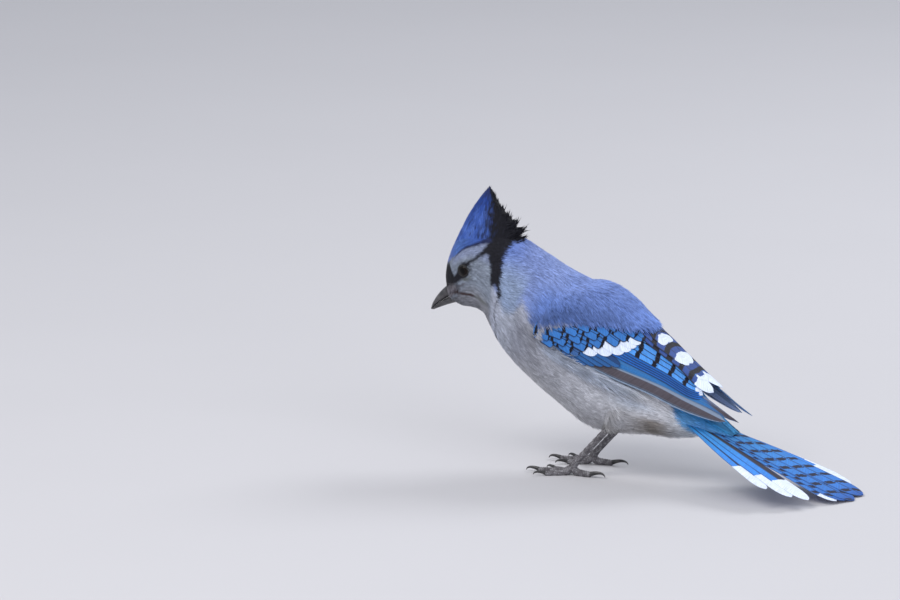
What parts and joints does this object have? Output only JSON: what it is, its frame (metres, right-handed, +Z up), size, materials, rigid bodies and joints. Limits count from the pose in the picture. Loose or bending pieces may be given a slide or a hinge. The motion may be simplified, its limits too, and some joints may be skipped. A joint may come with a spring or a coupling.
{
  "type": "blue jay",
  "caption": "Life-size blue jay standing with its head bowed, crest raised, wings folded and tail held low, on two splayed feet.",
  "frame": {"origin": "middle of the bird's box, on the floor that its toes and tail tip rest on", "axes": "+Z up, the bird faces -X, its left side is -Y"},
  "size_m": [0.261, 0.0852, 0.1555],
  "materials": {
    "face_feather": "soft pale feather with a black collar and eye line",
    "crest_feather": "violet blue feather, black at the rear",
    "mantle_feather": "soft grey violet blue feather",
    "breast_feather": "soft warm grey feather, paler on the belly",
    "flight_feather": "silky bright blue feather with black bars and white tips",
    "bill": "satin dark horn",
    "eye": "wet dark brown",
    "leg_scale": "dry dark scales",
    "claw": "dark horn"
  },
  "bodies": {
    "root": {"head": "face_feather", "crest": "crest_feather", "neck": "mantle_feather", "torso": "breast_feather", "thigh_left": "breast_feather", "thigh_right": "breast_feather", "wing_left": "flight_feather", "wing_right": "flight_feather", "tail": "flight_feather", "bill_upper": "bill", "bill_lower": "bill", "eye_left": "eye", "eye_right": "eye", "tarsus_left": "leg_scale", "tarsus_right": "leg_scale", "foot_left": "leg_scale", "foot_right": "leg_scale", "claw_inner_left": "claw", "claw_inner_right": "claw", "claw_middle_left": "claw", "claw_middle_right": "claw", "claw_outer_left": "claw", "claw_outer_right": "claw", "claw_hind_left": "claw", "claw_hind_right": "claw"}
  },
  "joints": []
}
